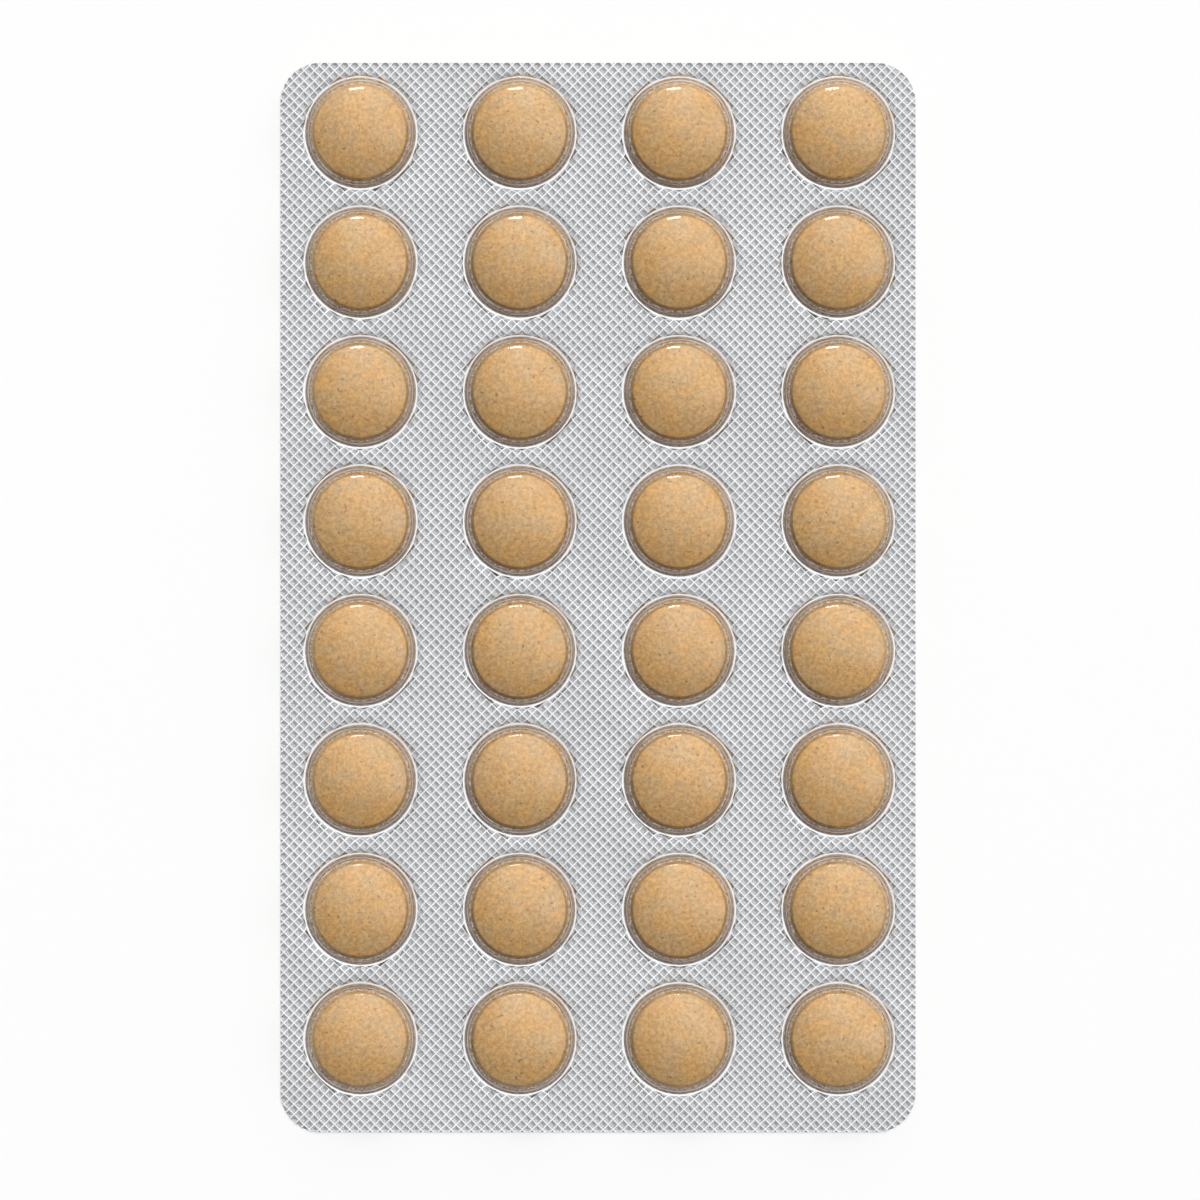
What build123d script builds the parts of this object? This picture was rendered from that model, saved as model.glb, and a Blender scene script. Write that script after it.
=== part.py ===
"""Blister pack of round tablets: a clear formed film with a grid of domed pockets, a foil
sealed to its underside, and one loose biconvex tablet in each pocket.

The pack lies on its foil. Origin: centre of the outline on the foil's lower face. +Z points up
through the pockets, +Y along the long side towards the narrow margin. Millimetres.
"""
from build123d import *

import os
from math import cos, radians, sqrt, tan

# ---- driving dimensions -------------------------------------------------------------------
COLUMNS = 4
ROWS = 8

TABLET_DIAMETER = 9.0
TABLET_BAND_HEIGHT = 1.9        # straight belly between the two caps
TABLET_CAP_HEIGHT = 1.25        # rise of each convex face
TABLET_EDGE_RADIUS = 0.15       # worn edge where cap and belly meet

FILM_THICKNESS = 0.25           # flat web of the formed film
POCKET_WALL = 0.15              # the film thins as it is drawn into a pocket
FOIL_THICKNESS = 0.03           # hard aluminium with its sealing lacquer

TABLET_SIDE_CLEARANCE = 0.25    # belly to pocket wall, at the belly's upper edge
TABLET_TOP_CLEARANCE = 0.3      # crown to the underside of the dome
WALL_DRAFT = 12.0               # degrees that a pocket wall leans out towards the foil
DOME_FLATNESS = 0.6             # how much larger the dome's radius is than the tablet cap's
SHOULDER_RADIUS = 0.7           # outside, between dome and wall
ROOT_RADIUS = 0.2               # outside, between wall and flat web

WEB_BETWEEN_COLUMNS = 4.57      # sealed web from pocket to pocket across the pack
WEB_BETWEEN_ROWS = 1.59         # the same along the pack
MARGIN_LEFT = 2.32              # pocket to edge
MARGIN_RIGHT = 2.05
MARGIN_TOP = 1.33
MARGIN_BOTTOM = 3.63
CORNER_RADIUS = 4.0

# ---- heights ------------------------------------------------------------------------------
film_bottom = FOIL_THICKNESS
film_top = film_bottom + FILM_THICKNESS
tablet_bottom = FOIL_THICKNESS
tablet_height = TABLET_BAND_HEIGHT + 2 * TABLET_CAP_HEIGHT
belly_top = tablet_bottom + TABLET_CAP_HEIGHT + TABLET_BAND_HEIGHT
dome_underside = tablet_bottom + tablet_height + TABLET_TOP_CLEARANCE

# ---- pocket section -----------------------------------------------------------------------
tablet_radius = TABLET_DIAMETER / 2
lean = tan(radians(WALL_DRAFT))
cap_radius = (tablet_radius**2 + TABLET_CAP_HEIGHT**2) / (2 * TABLET_CAP_HEIGHT)
dome_radius = cap_radius + DOME_FLATNESS


def wall_radius(height, outward=0.0):
    """Radius of the pocket's inner wall at a height, or of a surface that far outside it."""
    inner = tablet_radius + TABLET_SIDE_CLEARANCE + (belly_top - height) * lean
    return inner + outward / cos(radians(WALL_DRAFT))


def shoulder_corner(outward=0.0):
    """Where the drafted wall would meet the dome, before the shoulder is rounded."""
    radius = dome_radius + outward
    centre = dome_underside - dome_radius
    # The wall is r = foot - z * lean, and the dome is r^2 + (z - centre)^2 = radius^2.
    foot = wall_radius(0.0, outward)
    a = 1 + lean**2
    b = -2 * (foot * lean + centre)
    c = foot**2 + centre**2 - radius**2
    height = (-b + sqrt(b**2 - 4 * a * c)) / (2 * a)
    return foot - height * lean, height


def dome_arc(outward=0.0):
    """Arc from the shoulder corner up to the pocket's axis."""
    radius = dome_radius + outward
    centre = dome_underside - dome_radius
    corner_r, corner_z = shoulder_corner(outward)
    half_r = corner_r / 2
    half_z = centre + sqrt(radius**2 - half_r**2)
    return ThreePointArc((corner_r, corner_z), (half_r, half_z), (0, centre + radius))


# The root fillet touches the flat web this far outside the wall's foot.
root_reach = ROOT_RADIUS * tan(radians((90 - WALL_DRAFT) / 2))
pocket_radius = wall_radius(film_top, POCKET_WALL) + root_reach
ring_radius = pocket_radius + WEB_BETWEEN_ROWS / 4
column_pitch = 2 * pocket_radius + WEB_BETWEEN_COLUMNS
row_pitch = 2 * pocket_radius + WEB_BETWEEN_ROWS
pack_width = (COLUMNS - 1) * column_pitch + 2 * pocket_radius + MARGIN_LEFT + MARGIN_RIGHT
pack_length = (ROWS - 1) * row_pitch + 2 * pocket_radius + MARGIN_TOP + MARGIN_BOTTOM


def pocket_centre(row, column):
    """Centre of a pocket. Row 1 is at the narrow margin and column 1 on the left."""
    x = -pack_width / 2 + MARGIN_LEFT + pocket_radius + (column - 1) * column_pitch
    y = pack_length / 2 - MARGIN_TOP - pocket_radius - (row - 1) * row_pitch
    return x, y


def places():
    """Every pocket's row, column and location in the plane of the pack."""
    for row in range(1, ROWS + 1):
        for column in range(1, COLUMNS + 1):
            yield row, column, Pos(*pocket_centre(row, column), 0)


def turned(lines, rounds):
    """Solid of revolution about Z. lines are the section's edges in X and Z, drawn as X and Y,
    and rounds lists (corner, radius) for the corners to be rounded."""
    section = make_face(lines)
    for corner, radius in rounds:
        vertex = section.vertices().sort_by_distance((*corner, 0))[0]
        section = fillet(vertex, radius)
    return revolve(Plane.XZ * section, Axis.Z)


def pocket_bump():
    """Outside of one pocket, with the ring of flat web that its root fillet runs into."""
    foot = (wall_radius(film_top, POCKET_WALL), film_top)
    corner = shoulder_corner(POCKET_WALL)
    crown = (0, dome_underside + POCKET_WALL)
    web = [(0, film_bottom), (ring_radius, film_bottom), (ring_radius, film_top)]
    lines = [dome_arc(POCKET_WALL), Polyline(crown, *web, foot, corner)]
    return turned(lines, [(foot, ROOT_RADIUS), (corner, SHOULDER_RADIUS)])


def pocket_hollow():
    """Inside of one pocket. Its mouth is rounded to follow the root fillet."""
    mouth = (wall_radius(film_bottom), film_bottom)
    corner = shoulder_corner()
    below = film_bottom - FILM_THICKNESS  # clear of the film, so that the cut runs right out
    under = [(0, below), (ring_radius, below), (ring_radius, film_bottom)]
    lines = [dome_arc(), Polyline((0, dome_underside), *under, mouth, corner)]
    mouth_radius = ROOT_RADIUS + POCKET_WALL
    return turned(lines, [(mouth, mouth_radius), (corner, SHOULDER_RADIUS - POCKET_WALL)])


def tablet():
    """One biconvex tablet on the axis, resting on the foil."""
    low = tablet_bottom + TABLET_CAP_HEIGHT
    top = tablet_bottom + tablet_height
    half_r = tablet_radius / 2
    fall = cap_radius - sqrt(cap_radius**2 - half_r**2)
    foot, crown = (0, tablet_bottom), (0, top)
    edges = [(tablet_radius, low), (tablet_radius, belly_top)]
    lines = [
        ThreePointArc(foot, (half_r, tablet_bottom + fall), edges[0]),
        Line(*edges),
        ThreePointArc(edges[1], (half_r, top - fall), crown),
        Line(crown, foot),
    ]
    return turned(lines, [(edge, TABLET_EDGE_RADIUS) for edge in edges])


def sheet(bottom, thickness):
    """Flat sheet with the pack's outline."""
    outline = RectangleRounded(pack_width, pack_length, CORNER_RADIUS)
    return Pos(0, 0, bottom) * extrude(outline, thickness)


def forming_film():
    """The clear film: a flat web with every pocket drawn up out of it, in one piece."""
    bump, hollow = pocket_bump(), pocket_hollow()
    web = sheet(film_bottom, FILM_THICKNESS)
    web += [place * bump for _, _, place in places()]
    return web - [place * hollow for _, _, place in places()]


def write(shape, name):
    """Writes one node's file and prints what it holds."""
    export_step(shape, f"parts/{name}.step")
    print(f"{name}: {len(shape.solids())} solid, {shape.volume:.2f} mm3")


def main():
    os.makedirs("parts", exist_ok=True)
    print(f"pack {pack_width:.2f} x {pack_length:.2f} x {dome_underside + POCKET_WALL:.2f}")
    print(f"pitch {column_pitch:.3f} x {row_pitch:.3f}, pocket radius {pocket_radius:.3f}")
    write(sheet(0, FOIL_THICKNESS), "lidding_foil")
    write(forming_film(), "forming_film")
    one = tablet()
    for row, column, place in places():
        write(place * one, f"tablet_r{row}_c{column}")


main()
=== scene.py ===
"""Visual model of a blister pack of round tablets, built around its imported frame.

The pack lies on its foil with the pockets up. Three kinds of piece are made: the clear formed
film, the knurled lidding foil and the pressed tablets. Meshes are worked out in millimetres and
scaled to metres when they are finished, so every object sits at the origin, unturned.
"""
from __future__ import annotations

import logging
import math
from dataclasses import dataclass
from enum import Enum
from typing import Iterable

import bmesh
import bpy
from mathutils import Matrix, Vector, noise


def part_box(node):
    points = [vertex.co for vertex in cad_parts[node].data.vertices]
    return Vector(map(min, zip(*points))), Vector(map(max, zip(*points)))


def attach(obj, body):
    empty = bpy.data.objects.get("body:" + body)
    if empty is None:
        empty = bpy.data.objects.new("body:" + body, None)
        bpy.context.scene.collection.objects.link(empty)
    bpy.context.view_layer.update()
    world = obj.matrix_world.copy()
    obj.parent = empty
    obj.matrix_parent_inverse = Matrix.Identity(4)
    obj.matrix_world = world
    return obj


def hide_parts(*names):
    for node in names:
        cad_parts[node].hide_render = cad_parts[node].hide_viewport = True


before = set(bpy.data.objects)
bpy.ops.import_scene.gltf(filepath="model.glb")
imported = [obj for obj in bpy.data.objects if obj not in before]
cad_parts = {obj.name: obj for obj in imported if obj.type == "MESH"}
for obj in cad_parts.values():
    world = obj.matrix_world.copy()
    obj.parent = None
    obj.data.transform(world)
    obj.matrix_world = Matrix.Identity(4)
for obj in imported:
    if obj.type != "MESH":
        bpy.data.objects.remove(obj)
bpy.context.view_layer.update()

LOG = logging.getLogger("blister_pack")
MM = 0.001
KNURL_RELIEF = 0.09  # height of the foil's ridges over its hollows, in millimetres
BOND = 0.002  # how deep the ridges are pressed into the film
POLISH_AND_SHADE = "polish_and_shade"  # face attribute of the foil that sets its roughness and its painted shade: 0 in a hollow, painted darkest, 1 on the flat foil of a pocket
# values of that attribute on the ridge crowns and on the back; the back's value paints it a grey partway
# to the hollows' painted shade
RIDGE_POLISH_AND_SHADE = 0.5
BACK_POLISH_AND_SHADE = 0.3

Point = tuple[float, float]
Colour = tuple[float, float, float]


class Slot(Enum):
    """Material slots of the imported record."""

    FILM = "clear_film"
    FOIL = "foil"
    TABLET = "tablet"


# ---- sizes ----------------------------------------------------------------------------------


def box_mm(node: str) -> tuple[Vector, Vector]:
    """Lowest and highest corner of a frame node in millimetres."""
    low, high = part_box(node)
    return low / MM, high / MM


@dataclass(frozen=True)
class PackSizes:
    """Where the pack's pieces lie, in millimetres, read from the frame."""

    width: float
    length: float
    foil_top: float
    crown: float
    tablet_radius: float
    tablet_low: float
    tablet_high: float
    centres: dict[str, Point]
    corner: float = 4.0
    film: float = 0.25

    @classmethod
    def from_frame(cls) -> PackSizes:
        """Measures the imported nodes.

        Returns:
            The sizes that every piece is built from.
        """
        foil_low, foil_high = box_mm("lidding_foil")
        _, film_high = box_mm("forming_film")
        centres = {}
        radius = 0.0
        tablets = sorted(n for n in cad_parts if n.startswith("tablet_"))
        for name in tablets:
            low, high = box_mm(name)
            middle = (low + high) / 2
            centres[name] = (middle.x, middle.y)
            radius = max(radius, (high.x - low.x) / 2)
        low, high = box_mm(tablets[0])
        return cls(
            width=foil_high.x - foil_low.x,
            length=foil_high.y - foil_low.y,
            foil_top=foil_high.z,
            crown=film_high.z,
            tablet_radius=radius,
            tablet_low=low.z,
            tablet_high=high.z,
            centres=centres,
        )

    @property
    def film_top(self) -> float:
        """Height of the flat web's upper face."""
        return self.foil_top + self.film


# ---- mesh helpers ---------------------------------------------------------------------------


def arc(centre: Point, radius: float, start: float, end: float, steps: int) -> list[Point]:
    """Points on a circular arc in the plane of a section.

    Args:
        centre: The arc's centre, as (r, z).
        radius: The arc's radius.
        start: Angle of the first point from straight up, in degrees, growing outwards.
        end: Angle of the last point.
        steps: Number of equal steps between them.

    Returns:
        The points, both ends included.
    """
    turns = [math.radians(start + (end - start) * i / steps) for i in range(steps + 1)]
    return [(centre[0] + radius * math.sin(t), centre[1] + radius * math.cos(t)) for t in turns]


def line(start: Point, end: Point, steps: int) -> list[Point]:
    """Evenly spaced points strictly between two others."""
    shares = [i / steps for i in range(1, steps)]
    return [(start[0] + (end[0] - start[0]) * s, start[1] + (end[1] - start[1]) * s) for s in shares]


def rounded(corners: list[tuple[Point, float]], steps: int) -> list[Point]:
    """A bent line with its inner corners rounded.

    Args:
        corners: The line's points and the radius to round each with, ends included.
        steps: Number of equal steps round each corner.

    Returns:
        The points of the rounded line.
    """
    points = [Vector(point) for point, _ in corners]
    line_points = [tuple(points[0])]
    for before, here, after, (_, radius) in zip(points, points[1:], points[2:], corners[1:-1]):
        back, ahead = (before - here).normalized(), (after - here).normalized()
        half = back.angle(ahead) / 2
        touch = here + back * (radius / math.tan(half))
        middle = here + (back + ahead).normalized() * (radius / math.sin(half))
        turn = (math.pi - 2 * half) * (1 if back.cross(ahead) > 0 else -1)
        for step in range(steps + 1):
            spoke = Matrix.Rotation(-turn * step / steps, 2) @ (touch - middle)
            line_points.append(tuple(middle + spoke))
    line_points.append(tuple(points[-1]))
    return line_points


def turned(section: Iterable[Point], segments: int) -> bmesh.types.BMesh:
    """Surface of revolution about Z, with its pole or poles welded.

    Args:
        section: The section's points as (r, z), in order.
        segments: Number of steps round.

    Returns:
        A new bmesh that holds the surface.
    """
    bm = bmesh.new()
    verts = [bm.verts.new((r, 0.0, z)) for r, z in section]
    edges = [bm.edges.new(pair) for pair in zip(verts, verts[1:])]
    bmesh.ops.spin(
        bm, geom=verts + edges, cent=(0, 0, 0), axis=(0, 0, 1), angle=math.tau,
        steps=segments, use_merge=True,
    )
    bmesh.ops.remove_doubles(bm, verts=bm.verts[:], dist=1e-4)
    return bm


def stamp(target: bmesh.types.BMesh, source: bpy.types.Mesh, place: Vector) -> None:
    """Adds a copy of source to target, moved by place."""
    first = len(target.verts)
    target.from_mesh(source)
    target.verts.ensure_lookup_table()
    bmesh.ops.translate(target, verts=target.verts[first:], vec=place)


def finished(
    name: str, bm: bmesh.types.BMesh, material: bpy.types.Material, stands_for: str
) -> bpy.types.Object:
    """Turns a bmesh in millimetres into a piece of the pack.

    Args:
        name: The piece's name.
        bm: The finished bmesh, which is freed.
        material: The piece's material.
        stands_for: The frame node that the piece replaces.

    Returns:
        The new object, riding on the pack's body.
    """
    bmesh.ops.scale(bm, verts=bm.verts[:], vec=(MM, MM, MM))
    mesh = bpy.data.meshes.new(name)
    bm.to_mesh(mesh)
    bm.free()
    mesh.materials.append(material)
    piece = bpy.data.objects.new(name, mesh)
    bpy.context.scene.collection.objects.link(piece)
    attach(piece, "root")
    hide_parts(stands_for)
    triangles = sum(len(p.vertices) - 2 for p in mesh.polygons)
    LOG.info("%s: %d triangles", name, triangles)
    return piece


def smooth_except(bm: bmesh.types.BMesh, sharp_angle: float) -> None:
    """Shades every face smooth and marks edges sharper than an angle in degrees."""
    limit = math.radians(sharp_angle)
    for face in bm.faces:
        face.smooth = True
    for edge in bm.edges:
        edge.smooth = len(edge.link_faces) != 2 or edge.calc_face_angle(0.0) < limit


# ---- material helpers -----------------------------------------------------------------------


class NodeBoard:
    """Adds and links nodes in one node tree, with short calls."""

    def __init__(self, tree: bpy.types.NodeTree) -> None:
        """Takes the tree to work in."""
        self.tree = tree

    def add(self, kind: str, settings: dict | None = None, **inputs: object) -> bpy.types.Node:
        """Adds a node.

        Args:
            kind: The node's type name, without its ShaderNode prefix.
            settings: Properties to set on the node.
            **inputs: Values or sockets for its inputs. A name's underscores stand for spaces,
                and inputs that share a name are reached as i0, i1 and so on.

        Returns:
            The new node.
        """
        node = self.tree.nodes.new("ShaderNode" + kind)
        for key, value in (settings or {}).items():
            setattr(node, key, value)
        for key, value in inputs.items():
            by_number = key[0] == "i" and key[1:].isdigit()
            socket = node.inputs[int(key[1:]) if by_number else key.replace("_", " ")]
            if isinstance(value, bpy.types.NodeSocket):
                self.tree.links.new(value, socket)
            else:
                socket.default_value = value
        return node

    def maths(self, operation: str, *values: object) -> bpy.types.NodeSocket:
        """Adds a Math node and returns its result."""
        inputs = {f"i{n}": v for n, v in enumerate(values)}
        return self.add("Math", {"operation": operation}, **inputs).outputs[0]

    def ramp(self, fac: bpy.types.NodeSocket, stops: list[tuple[float, Colour]]) -> bpy.types.NodeSocket:
        """Adds a Color Ramp.

        Args:
            fac: The socket that drives it.
            stops: Positions and their colours, at least two, in order.

        Returns:
            The ramp's colour socket.
        """
        node = self.add("ValToRGB", Fac=fac)
        elements = node.color_ramp.elements
        while len(elements) < len(stops):
            elements.new(0.5)
        for element, (position, colour) in zip(elements, stops):
            element.position = position
            element.color = (*colour, 1.0)
        return node.outputs["Color"]


def new_material(name: str) -> tuple[bpy.types.Material, NodeBoard, bpy.types.Node]:
    """Makes an empty node material.

    Args:
        name: The material's name.

    Returns:
        The material, a board on its tree and its output node.
    """
    material = bpy.data.materials.new(name)
    material.use_nodes = True
    material.node_tree.nodes.clear()
    board = NodeBoard(material.node_tree)
    return material, board, board.add("OutputMaterial")


# ---- finishes -------------------------------------------------------------------------------


@dataclass(frozen=True)
class ClearFilm:
    """Clear glossy PVC film."""

    tint: Colour = (0.985, 0.99, 0.995)
    roughness: float = 0.03
    index: float = 1.53

    def material(self) -> bpy.types.Material:
        """Builds the material. Lamps shine straight through it.

        Returns:
            The film's material.
        """
        material, board, output = new_material("clear_film_finish")
        glass = board.add(
            "BsdfPrincipled", Base_Color=(*self.tint, 1), Roughness=self.roughness,
            IOR=self.index, Transmission_Weight=1.0,
        )
        clear = board.add("BsdfTransparent", Color=(*self.tint, 1))
        path = board.add("LightPath")
        straight = path.outputs["Is Shadow Ray"]
        for kind in ("Is Diffuse Ray", "Is Glossy Ray"):
            straight = board.maths("MAXIMUM", straight, path.outputs[kind])
        mix = board.add("MixShader", i0=straight, i1=glass.outputs[0], i2=clear.outputs[0])
        board.tree.links.new(mix.outputs[0], output.inputs["Surface"])
        return material


@dataclass(frozen=True)
class LacqueredFoil:
    """Hard aluminium foil, satin under its sealing lacquer, with painted shade: the knurl's hollows get
    a darker colour.
    """

    # hollow is painted shade for the knurl's hollows; crown and flat are the foil's own colour
    hollow: Colour = (0.43, 0.43, 0.435)
    crown: Colour = (0.90, 0.90, 0.905)
    flat: Colour = (0.92, 0.92, 0.925)
    roughness: float = 0.25
    flat_roughness: float = 0.2

    def material(self) -> bpy.types.Material:
        """Builds the material.

        Returns:
            The foil's material.
        """
        material, board, output = new_material("lacquered_foil_finish")
        place = board.add("TexCoord").outputs["Object"]
        cloud = board.add("TexNoise", Vector=place, Scale=90.0, Detail=3.0, Roughness=0.5)
        grain = board.add("TexNoise", Vector=place, Scale=2600.0, Detail=2.0, Roughness=0.6)
        polish_and_shade = board.add("Attribute", {"attribute_name": POLISH_AND_SHADE}).outputs["Fac"]
        satin = board.add(
            "MapRange", Value=polish_and_shade, i1=RIDGE_POLISH_AND_SHADE, i2=1.0,
            i3=self.roughness, i4=self.flat_roughness,
        )
        uneven = board.add("MapRange", Value=grain.outputs[0], i1=0.3, i2=0.7, i3=0.85, i4=1.2)
        rough = board.maths("MULTIPLY", satin.outputs[0], uneven.outputs[0])
        waves = board.add("Bump", Strength=0.2, Distance=0.0012, Height=cloud.outputs[0])
        fine = board.add(
            "Bump", Strength=0.15, Distance=0.00002, Height=grain.outputs[0],
            Normal=waves.outputs[0],
        )
        # painted shade: the hollows get the dark hollow colour, the ridges and the flat foil the foil's
        # own colour
        tone = board.ramp(
            polish_and_shade, [(0.0, self.hollow), (RIDGE_POLISH_AND_SHADE, self.crown), (1.0, self.flat)]
        )
        shade = board.add("MapRange", Value=cloud.outputs[0], i1=0.35, i2=0.65, i3=0.94, i4=1.0)
        clouded = board.add("VectorMath", {"operation": "SCALE"}, i0=tone, i3=shade.outputs[0])
        metal = board.add(
            "BsdfPrincipled", Base_Color=clouded.outputs[0], Metallic=1.0, Roughness=rough,
            Normal=fine.outputs[0],
        )
        board.tree.links.new(metal.outputs[0], output.inputs["Surface"])
        return material


@dataclass(frozen=True)
class PressedTablet:
    """Matt pressed powder, softly blotched, with fine flecks and a few dark pits, whose dark is painted
    shade, as they have no relief.
    """

    warm: Colour = (0.640, 0.352, 0.112)
    pale: Colour = (0.590, 0.365, 0.155)
    fleck: Colour = (0.430, 0.215, 0.065)
    # pit is painted shade: the dark inside tiny pits, given as colour only
    pit: Colour = (0.200, 0.110, 0.040)
    contrast: float = 0.17

    def material(self) -> bpy.types.Material:
        """Builds the material.

        Returns:
            The tablets' material.
        """
        material, board, output = new_material("pressed_tablet_finish")
        place = board.add("TexCoord").outputs["Object"]
        blotch = board.add("TexNoise", Vector=place, Scale=480.0, Detail=3.0, Roughness=0.55)
        tone = board.ramp(blotch.outputs[0], [(0.40, self.warm), (0.62, self.pale)])
        mottle = board.add("TexNoise", Vector=place, Scale=2600.0, Detail=3.0, Roughness=0.7)
        level = board.add(
            "MapRange", Value=mottle.outputs[0], i1=0.38, i2=0.62,
            i3=1 - self.contrast, i4=1 + self.contrast,
        )
        shaded = board.add("VectorMath", {"operation": "SCALE"}, i0=tone, i3=level.outputs[0])
        fibre = board.add(
            "TexNoise", Vector=place, Scale=3400.0, Detail=2.0, Roughness=0.6, Distortion=1.2
        )
        flecks = board.add("MapRange", Value=fibre.outputs[0], i1=0.53, i2=0.64, i3=0.0, i4=0.55)
        flecked = board.add(
            "Mix", {"data_type": "RGBA"}, i0=flecks.outputs[0], i6=shaded.outputs[0],
            i7=(*self.fleck, 1),
        )
        # painted shade: a few small dark spots stand for the shade in pits that the surface does not
        # have
        pit_shade_noise = board.add("TexNoise", Vector=place, Scale=3000.0, Detail=0.0)
        pits = board.add("MapRange", Value=pit_shade_noise.outputs[0], i1=0.76, i2=0.80, i3=0.0, i4=0.7)
        colour = board.add(
            "Mix", {"data_type": "RGBA"}, i0=pits.outputs[0], i6=flecked.outputs[2],
            i7=(*self.pit, 1),
        )
        bump = board.add("Bump", Strength=0.4, Distance=0.00005, Height=mottle.outputs[0])
        powder = board.add(
            "BsdfPrincipled", Base_Color=colour.outputs[2], Roughness=0.8,
            Normal=bump.outputs[0],
        )
        board.tree.links.new(powder.outputs[0], output.inputs["Surface"])
        return material


@dataclass(frozen=True)
class PaleFloor:
    """White table top that stays white to the eye and keeps the pack's shadow."""

    paint: Colour = (0.70, 0.70, 0.70)
    lift: float = 0.27

    def material(self) -> bpy.types.Material:
        """Builds the material, clear from below so that the pack's underside can be seen.

        Returns:
            The floor's material.
        """
        material, board, output = new_material("pale_floor_finish")
        paint = board.add("BsdfDiffuse", Color=(*self.paint, 1))
        path = board.add("LightPath")
        seen = board.maths(
            "MAXIMUM", path.outputs["Is Camera Ray"],
            board.maths("MAXIMUM", path.outputs["Is Glossy Ray"], path.outputs["Is Transmission Ray"]),
        )
        glow = board.add("Emission", Strength=board.maths("MULTIPLY", seen, self.lift))
        both = board.add("AddShader", i0=paint.outputs[0], i1=glow.outputs[0])
        below = board.add("NewGeometry").outputs["Backfacing"]
        mix = board.add(
            "MixShader", i0=below, i1=both.outputs[0], i2=board.add("BsdfTransparent").outputs[0]
        )
        board.tree.links.new(mix.outputs[0], output.inputs["Surface"])
        return material


# ---- the formed film ------------------------------------------------------------------------


@dataclass(frozen=True)
class PocketSection:
    """Section of one pocket: a shallow dome, a rounded shoulder and a wall with one step."""

    sizes: PackSizes
    wall: float = 0.15
    side_clearance: float = 0.25
    belly_top: float = 3.18
    draft: float = 8.0
    cap_rise: float = 1.25
    flatness: float = 0.6
    shoulder: float = 0.7
    root: float = 0.2
    steps: tuple[float, ...] = (1.4,)
    step_width: float = 0.2
    step_slope: float = 28.0
    step_round: float = 0.05

    @property
    def dome(self) -> float:
        """Radius of the dome's inner face."""
        cap = (self.sizes.tablet_radius**2 + self.cap_rise**2) / (2 * self.cap_rise)
        return cap + self.flatness

    @property
    def lean(self) -> float:
        """How far the wall leans out for each millimetre down."""
        return math.tan(math.radians(self.draft))

    def wall_radius(self, height: float, outward: float = 0.0, steps: int = 0) -> float:
        """Radius of the wall at a height, under a number of steps.

        Args:
            height: Height of the place.
            outward: 0 for the inner face, or the distance outside it.
            steps: Number of steps above the place.

        Returns:
            The radius.
        """
        inner = self.sizes.tablet_radius + self.side_clearance + (self.belly_top - height) * self.lean
        return inner + steps * self.step_width + outward / math.cos(math.radians(self.draft))

    def step_corners(self, number: int, outward: float) -> list[Point]:
        """Where a step's slope meets the wall above it and the wall below it."""
        start = self.steps[number]
        slope = math.tan(math.radians(self.step_slope))
        level = start + outward / math.cos(math.radians(self.step_slope))
        corners = []
        for above in (number, number + 1):
            foot = self.wall_radius(0.0, outward, above)
            run = foot - self.wall_radius(start, 0.0, number)
            height = (level - run * slope) / (1 - self.lean * slope)
            corners.append((foot - height * self.lean, height))
        return corners

    def points(self, outward: float, flat: float, root: float) -> list[Point]:
        """Points of one face of the pocket, from its axis to the flat web.

        Args:
            outward: 0 for the inner face, or the wall's thickness for the outer one.
            flat: Height of the web's face that it runs into.
            root: Radius of the fillet there.

        Returns:
            The section's points.
        """
        shoulder = self.shoulder - self.wall
        centre = self.sizes.crown - self.wall - self.dome
        reach = self.dome - shoulder
        foot = self.wall_radius(0.0) - shoulder / math.cos(math.radians(self.draft))
        a = 1 + self.lean**2
        b = -2 * (foot * self.lean + centre)
        c = foot**2 + centre**2 - reach**2
        high = (-b + math.sqrt(b * b - 4 * a * c)) / (2 * a)
        bend = (foot - high * self.lean, high)
        start = math.degrees(math.asin(bend[0] / reach))
        top = arc((0.0, centre), self.dome + outward, 0, start, 9)
        corner = arc(bend, shoulder + outward, start, 90 - self.draft, 6)
        below = [(corner[-1], 0.0)]
        for number in range(len(self.steps)):
            hollow, proud = self.step_corners(number, outward)
            below.append((hollow, self.step_round + self.wall - outward))
            below.append((proud, self.step_round + outward))
        last = (self.wall_radius(flat, outward, len(self.steps)), flat)
        end = (last[0] + 2 * root, flat)
        wall = rounded([*below, (last, root), (end, 0.0)], 3)
        return top + corner[1:] + wall[1:-1]


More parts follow.
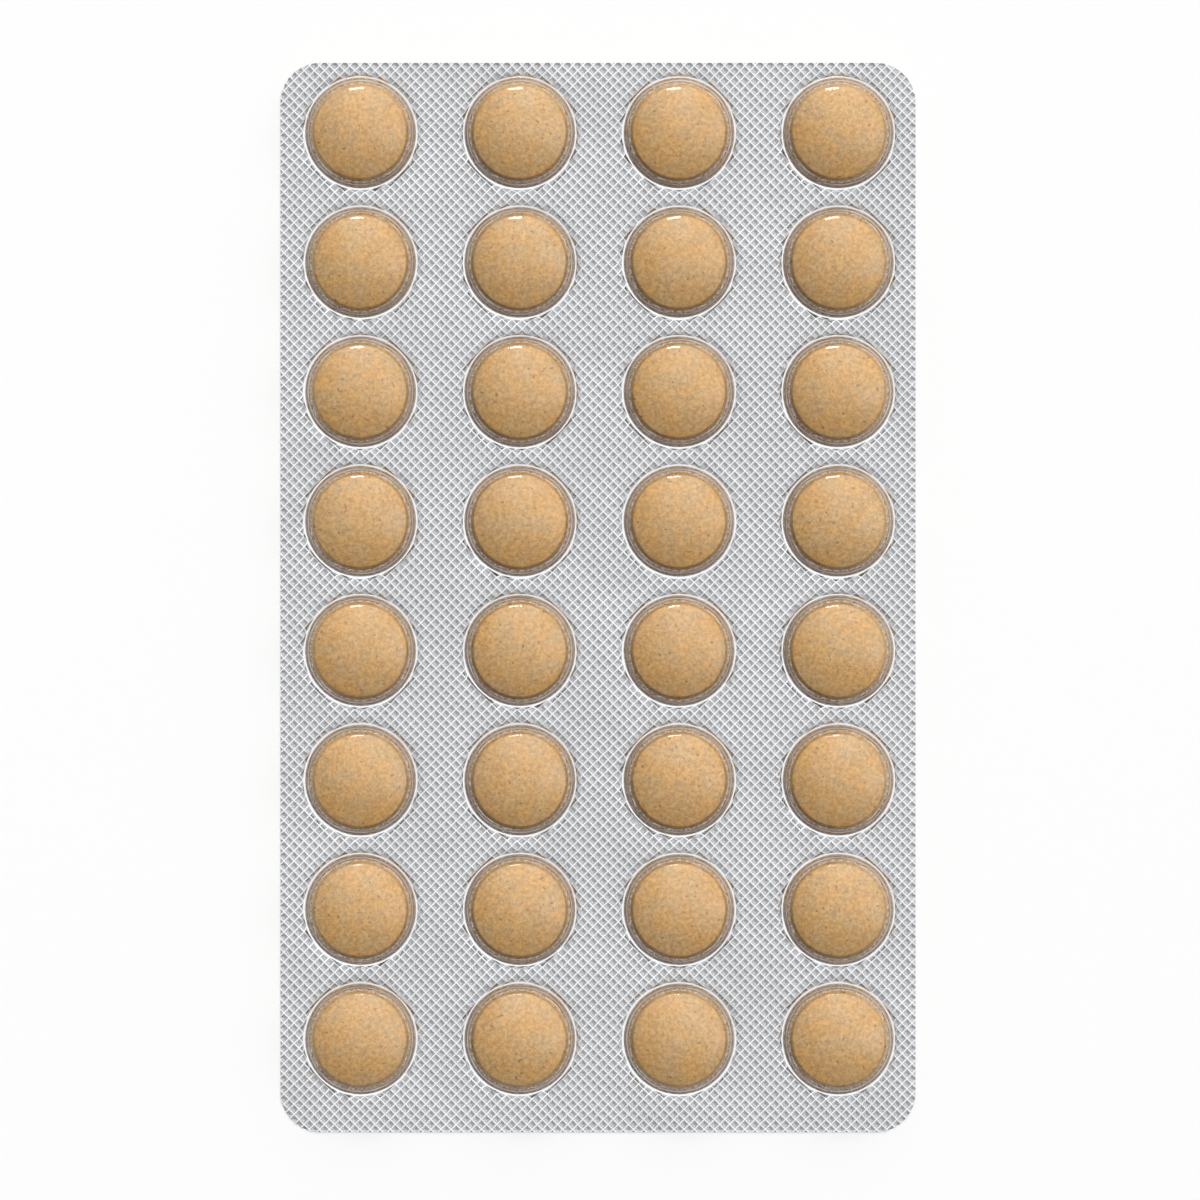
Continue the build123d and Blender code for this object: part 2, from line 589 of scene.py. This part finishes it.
@dataclass
class FormingFilm:
    """The clear film: a flat web with every pocket drawn up out of it, in one piece."""

    sizes: PackSizes
    finish: ClearFilm
    segments: int = 52
    collar: float = 0.1
    corner_steps: int = 12

    @property
    def low(self) -> float:
        """Height of the web's lower face, which is bonded to the foil's ridges."""
        return self.sizes.foil_top + KNURL_RELIEF - BOND

    def pocket(self) -> bpy.types.Mesh:
        """Both faces of one pocket on the axis, each with a narrow flat collar."""
        section = PocketSection(self.sizes)
        outer = section.points(section.wall, self.sizes.film_top, section.root)
        inner = section.points(0.0, self.low, section.root + section.wall)
        mesh = bpy.data.meshes.new("pocket")
        both = bmesh.new()
        for points in (outer, inner):
            rim_r, rim_z = points[-1]
            skin = turned(points + [(rim_r + self.collar, rim_z)], self.segments)
            skin.to_mesh(mesh)
            skin.free()
            both.from_mesh(mesh)
        both.to_mesh(mesh)
        both.free()
        return mesh

    def build(self) -> bpy.types.Object:
        """Builds the whole film.

        Returns:
            The film's object.
        """
        low, high = self.low, self.sizes.film_top
        bm = bmesh.new()
        edge = rounded_sheet(bm, self.sizes, low, self.corner_steps)
        raised = bmesh.ops.extrude_edge_only(bm, edges=edge)["geom"]
        upper = [g for g in raised if isinstance(g, bmesh.types.BMVert)]
        bmesh.ops.translate(bm, verts=upper, vec=(0, 0, high - low))
        template = self.pocket()
        for x, y in self.sizes.centres.values():
            stamp(bm, template, Vector((x, y, 0)))
        for level, normal in ((low, -1), (high, 1)):
            loops = [
                e for e in bm.edges
                if e.is_boundary and all(abs(v.co.z - level) < 1e-3 for v in e.verts)
            ]
            bmesh.ops.triangle_fill(bm, use_beauty=True, edges=loops, normal=(0, 0, normal))
        bmesh.ops.recalc_face_normals(bm, faces=bm.faces[:])
        smooth_except(bm, 60)
        return finished("formed_film", bm, self.finish.material(), "forming_film")


def rounded_sheet(
    bm: bmesh.types.BMesh, sizes: PackSizes, height: float, steps: int
) -> list[bmesh.types.BMEdge]:
    """Draws the pack's outline as a loop of edges.

    Args:
        bm: The bmesh to draw in, empty so far.
        sizes: The pack's sizes.
        height: Height of the loop.
        steps: Number of edges round each corner.

    Returns:
        The loop's edges.
    """
    made = bmesh.ops.create_grid(bm, x_segments=1, y_segments=1, size=0.5)["verts"]
    bmesh.ops.scale(bm, verts=made, vec=(sizes.width, sizes.length, 1))
    bmesh.ops.translate(bm, verts=made, vec=(0, 0, height))
    bmesh.ops.bevel(
        bm, geom=made, offset=sizes.corner, affect="VERTICES", segments=steps, profile=0.5,
        material=-1,
    )
    bmesh.ops.delete(bm, geom=bm.faces[:], context="FACES_ONLY")
    return bm.edges[:]


# ---- the lidding foil -----------------------------------------------------------------------


@dataclass
class LiddingFoil:
    """The knurled foil: a diamond lattice of fine ridges, with a smooth ring at each pocket."""

    sizes: PackSizes
    finish: LacqueredFoil
    pitch: float = 0.717
    ring: float = 5.72
    ridge: float = 0.055
    wall: float = 0.2
    wobble: float = 0.025
    corner_cuts: int = 7

    def nearest(self, x: float, y: float) -> tuple[Point, float]:
        """The pocket centre nearest to a point, and how far off it is."""
        return min(
            ((c, math.hypot(x - c[0], y - c[1])) for c in self.sizes.centres.values()),
            key=lambda pair: pair[1],
        )

    def lattice(self) -> bmesh.types.BMesh:
        """One sheet of square cells at 45 degrees, with a round hole at each pocket.

        Returns:
            A new bmesh at ridge level, whose cells run past the pack's outline.
        """
        half_x = self.sizes.width / 2 + self.pitch
        half_y = self.sizes.length / 2 + self.pitch
        count = 2 * math.ceil(math.hypot(half_x, half_y) / self.pitch)
        bm = bmesh.new()
        bmesh.ops.create_grid(
            bm, x_segments=count, y_segments=count, size=count * self.pitch / 2,
            matrix=Matrix.Rotation(math.radians(45), 4, "Z"),
        )
        beyond = []
        for face in bm.faces:
            middle = face.calc_center_median()
            if abs(middle.x) > half_x or abs(middle.y) > half_y:
                beyond.append(face)
        bmesh.ops.delete(bm, geom=beyond, context="FACES")
        near = {v: self.nearest(v.co.x, v.co.y) for v in bm.verts}
        inside = [f for f in bm.faces if all(near[v][1] < self.ring for v in f.verts)]
        for vert, (centre, distance) in near.items():
            if distance < self.ring:
                share = self.ring / distance
                vert.co.x = centre[0] + (vert.co.x - centre[0]) * share
                vert.co.y = centre[1] + (vert.co.y - centre[1]) * share
                vert.co.z = -KNURL_RELIEF
            elif not vert.is_boundary:
                shift = noise.noise_vector(vert.co * 1.9) * self.wobble
                vert.co += Vector((shift.x, shift.y, 0))
        bmesh.ops.delete(bm, geom=inside, context="FACES")
        return bm

    def emboss(self, bm: bmesh.types.BMesh, crowned: bool) -> None:
        """Presses every cell in. Cells that a pocket's ring cuts short are pressed less.

        Args:
            bm: The sheet, at ridge level.
            crowned: Whether a cell is a flat-floored hollow between crowned ridges. Otherwise it
                is a plain four-sided pit, which keeps the unseen back light.
        """
        full = self.pitch / 2
        polish_and_shade = bm.faces.layers.float.new(POLISH_AND_SHADE)
        shares = {
            f: 2 * f.calc_area() / sum(e.calc_length() for e in f.edges) / full for f in bm.faces
        }
        for low, high in ((0.88, 9.0), (0.68, 0.88), (0.48, 0.68)):
            cells = [f for f, share in shares.items() if low <= share < high]
            press = 1.0 if low > 0.8 else (low * full - self.ridge) / full
            depth = KNURL_RELIEF * press
            if not crowned:
                bmesh.ops.poke(bm, faces=cells, offset=-depth)
                continue
            for width, drop in ((self.ridge, 0.0), (self.wall * press, depth)):
                rims = bmesh.ops.inset_individual(
                    bm, faces=cells, thickness=width, depth=-drop, use_even_offset=True
                )["faces"]
                # the hollows' walls and floors get 0, which the foil's material paints with the dark
                # colour of painted shade
                for rim in rims:
                    rim[polish_and_shade] = RIDGE_POLISH_AND_SHADE if drop == 0 else 0.0
        if not crowned:
            # every face of the back gets a value that the material paints a grey partway to the hollows'
            # painted shade
            for face in bm.faces:
                face[polish_and_shade] = BACK_POLISH_AND_SHADE

    def fill_rings(self, bm: bmesh.types.BMesh) -> None:
        """Closes the hole at each pocket with flat foil."""
        loops = [e for e in bm.edges if e.is_boundary and all(self.on_ring(v) for v in e.verts)]
        flats = bmesh.ops.edgeloop_fill(bm, edges=loops)["faces"]
        polish_and_shade = bm.faces.layers.float[POLISH_AND_SHADE]
        for flat in flats:
            flat[polish_and_shade] = 1.0
        bmesh.ops.inset_individual(bm, faces=flats, thickness=0.08, use_even_offset=True)

    def on_ring(self, vert: bmesh.types.BMVert) -> bool:
        """True if a vertex lies on the edge of a pocket's smooth ring."""
        return abs(self.nearest(vert.co.x, vert.co.y)[1] - self.ring) < 1e-3

    def trim(self, bm: bmesh.types.BMesh) -> None:
        """Cuts the foil to the pack's outline, straight sides first, and closes each cut."""
        half_x, half_y, corner = self.sizes.width / 2, self.sizes.length / 2, self.sizes.corner
        for turn in range(4):
            normal = Vector((math.cos(turn * math.pi / 2), math.sin(turn * math.pi / 2), 0))
            place = Vector((normal.x * half_x, normal.y * half_y, 0))
            self.cut(bm, place, normal, bm.faces[:])
        for sign_x, sign_y in ((1, 1), (-1, 1), (-1, -1), (1, -1)):
            middle = Vector((sign_x * (half_x - corner), sign_y * (half_y - corner), 0))
            for step in range(self.corner_cuts):
                turn = math.pi / 2 * (step + 0.5) / self.corner_cuts
                normal = Vector((sign_x * math.cos(turn), sign_y * math.sin(turn), 0))
                near = [
                    f for f in bm.faces
                    if any((v.co - middle).dot(normal) > corner - 0.2 for v in f.verts)
                ]
                self.cut(bm, middle + normal * corner, normal, near)

    @staticmethod
    def cut(
        bm: bmesh.types.BMesh, place: Vector, normal: Vector, faces: list[bmesh.types.BMFace]
    ) -> None:
        """Cuts faces off beyond a plane and fills the section.

        Args:
            bm: The bmesh to cut.
            place: A point on the plane.
            normal: The plane's normal, towards what is cut off.
            faces: The faces that may meet the plane.
        """
        edges = {e for f in faces for e in f.edges}
        verts = {v for f in faces for v in f.verts}
        made = bmesh.ops.bisect_plane(
            bm, geom=[*verts, *edges, *faces], plane_co=place, plane_no=normal, clear_outer=True,
            dist=1e-5,
        )["geom_cut"]
        section = [g for g in made if isinstance(g, bmesh.types.BMEdge) and g.is_boundary]
        bmesh.ops.edgeloop_fill(bm, edges=section)

    def build(self) -> bpy.types.Object:
        """Builds the whole foil.

        Returns:
            The foil's object.
        """
        top = self.lattice()
        back = top.copy()
        for sheet, crowned, level in ((top, True, self.sizes.foil_top), (back, False, 0.0)):
            self.emboss(sheet, crowned)
            self.fill_rings(sheet)
            for vert in sheet.verts:
                vert.co.z = max(vert.co.z + level + KNURL_RELIEF, level)
        bmesh.ops.reverse_faces(back, faces=back.faces[:])
        mesh = bpy.data.meshes.new("back")
        back.to_mesh(mesh)
        back.free()
        top.from_mesh(mesh)
        bmesh.ops.bridge_loops(top, edges=[e for e in top.edges if e.is_boundary])
        self.trim(top)
        bmesh.ops.recalc_face_normals(top, faces=top.faces[:])
        smooth_except(top, 70)
        return finished("knurled_foil", top, self.finish.material(), "lidding_foil")


# ---- the tablets ----------------------------------------------------------------------------


@dataclass
class Tablet:
    """One biconvex pressed tablet."""

    sizes: PackSizes
    finish: bpy.types.Material
    node: str
    cap_rise: float = 1.25
    edge: float = 0.15
    segments: int = 72
    unevenness: float = 0.012

    def section(self) -> list[Point]:
        """Section of the tablet from its crown to its foot.

        Returns:
            The section's points.
        """
        radius = self.sizes.tablet_radius
        low, high = self.sizes.tablet_low, self.sizes.tablet_high
        cap = (radius**2 + self.cap_rise**2) / (2 * self.cap_rise)
        reach = cap - self.edge
        bend_r = radius - self.edge
        drop = math.sqrt(reach**2 - bend_r**2)
        tilt = math.degrees(math.atan2(bend_r, drop))
        upper = arc((0.0, high - cap), cap, 0, tilt, 14)
        upper += arc((bend_r, high - cap + drop), self.edge, tilt, 90, 4)[1:]
        middle = (low + high) / 2
        lower = [(r, 2 * middle - z) for r, z in reversed(upper)]
        return upper + line(upper[-1], lower[0], 4) + lower

    def build(self) -> bpy.types.Object:
        """Builds the tablet in its pocket.

        Returns:
            The tablet's object.
        """
        bm = turned(self.section(), self.segments)
        bmesh.ops.recalc_face_normals(bm, faces=bm.faces[:])
        x, y = self.sizes.centres[self.node]
        bmesh.ops.translate(bm, verts=bm.verts[:], vec=(x, y, 0))
        bm.normal_update()
        for vert in bm.verts:
            dent = noise.fractal(vert.co * 1.3, 1.0, 2.0, 3) - 0.4
            vert.co += vert.normal * min(dent, 0.0) * self.unevenness
        smooth_except(bm, 60)
        return finished(f"pressed_{self.node}", bm, self.finish, self.node)


# ---- the studio -----------------------------------------------------------------------------


def aimed(azimuth: float, zenith: float) -> Vector:
    """Unit vector at an azimuth from +X and an angle from straight up, both in degrees."""
    turn, fall = math.radians(azimuth), math.radians(zenith)
    return Vector((
        math.sin(fall) * math.cos(turn), math.sin(fall) * math.sin(turn), math.cos(fall)
    ))


@dataclass(frozen=True)
class SoftBox:
    """A soft rectangular lamp aimed at the pack."""

    name: str
    azimuth: float
    zenith: float
    distance: float
    width: float
    height: float
    radiance: float

    def place(self) -> None:
        """Adds the lamp to the scene."""
        lamp = bpy.data.lights.new(self.name, "AREA")
        lamp.shape = "RECTANGLE"
        lamp.size = self.width
        lamp.size_y = self.height
        lamp.energy = self.radiance * math.pi * self.width * self.height
        holder = bpy.data.objects.new(self.name, lamp)
        towards = aimed(self.azimuth, self.zenith)
        holder.location = towards * self.distance
        holder.rotation_euler = towards.to_track_quat("Z", "Y").to_euler()
        bpy.context.scene.collection.objects.link(holder)


@dataclass(frozen=True)
class SkyLobe:
    """A smooth bright patch of the surrounding light."""

    azimuth: float
    zenith: float
    sharpness: float
    level: float

    def strength(self, board: NodeBoard, direction: bpy.types.NodeSocket) -> bpy.types.NodeSocket:
        """Adds the patch's nodes.

        Args:
            board: The world's board.
            direction: The direction looked in.

        Returns:
            How bright the patch is in that direction.
        """
        facing = board.add(
            "VectorMath", {"operation": "DOT_PRODUCT"}, i0=direction,
            i1=tuple(aimed(self.azimuth, self.zenith)),
        ).outputs["Value"]
        fall = board.maths("MULTIPLY_ADD", facing, self.sharpness, -self.sharpness)
        return board.maths("MULTIPLY", board.maths("EXPONENT", fall), self.level)


@dataclass(frozen=True)
class Studio:
    """White table, soft light from the top right, and the camera straight above."""

    camera_height: float = 2.0
    view_width: float = 0.1201
    aim_x: float = 0.0002
    aim_y: float = -0.00025
    sensor: float = 36.0
    floor_size: float = 8.0

    def build(self) -> None:
        """Sets up the floor, the light, the camera and the view transform."""
        self.floor()
        self.sky()
        SoftBox("top_strip", 96, 60, 1.2, 0.30, 0.075, 18.0).place()
        self.camera()
        bpy.context.scene.view_settings.view_transform = "Standard"

    def floor(self) -> None:
        """Adds the table top."""
        bm = bmesh.new()
        bmesh.ops.create_grid(bm, x_segments=8, y_segments=8, size=self.floor_size / 2)
        mesh = bpy.data.meshes.new("floor")
        bm.to_mesh(mesh)
        bm.free()
        mesh.materials.append(PaleFloor().material())
        piece = bpy.data.objects.new("floor", mesh)
        bpy.context.scene.collection.objects.link(piece)

    @staticmethod
    def sky() -> None:
        """Soft surrounding light, brightest at the top right and dim at the lower left."""
        world = bpy.data.worlds.new("soft_surround")
        bpy.context.scene.world = world
        world.use_nodes = True
        world.node_tree.nodes.clear()
        board = NodeBoard(world.node_tree)
        direction = board.add("TexCoord").outputs["Generated"]
        level = 0.15
        for lobe in (
            SkyLobe(84, 55, 4.5, 2.3), SkyLobe(2, 48, 12.0, 1.8), SkyLobe(0, 0, 6.0, 0.58)
        ):
            level = board.maths("ADD", level, lobe.strength(board, direction))
        back = board.add("Background", Color=(1, 1, 1, 1), Strength=level)
        output = board.add("OutputWorld")
        world.node_tree.links.new(back.outputs[0], output.inputs["Surface"])

    def camera(self) -> None:
        """Adds the camera, looking straight down with the pack's long side upright."""
        data = bpy.data.cameras.new("camera")
        data.sensor_width = self.sensor
        data.lens = self.sensor * self.camera_height / self.view_width
        data.clip_start = 0.1
        data.clip_end = 20.0
        camera = bpy.data.objects.new("camera", data)
        camera.location = (self.aim_x, self.aim_y, self.camera_height)
        bpy.context.scene.collection.objects.link(camera)
        bpy.context.scene.camera = camera


# ---- the pack -------------------------------------------------------------------------------


def main() -> None:
    """Builds the pack and its studio."""
    logging.basicConfig(level=logging.INFO, format="%(name)s: %(message)s")
    Studio().build()
    sizes = PackSizes.from_frame()
    LiddingFoil(sizes, LacqueredFoil()).build()
    FormingFilm(sizes, ClearFilm()).build()
    powder = PressedTablet().material()
    for node in sizes.centres:
        Tablet(sizes, powder, node).build()


if __name__ == "__main__":
    main()
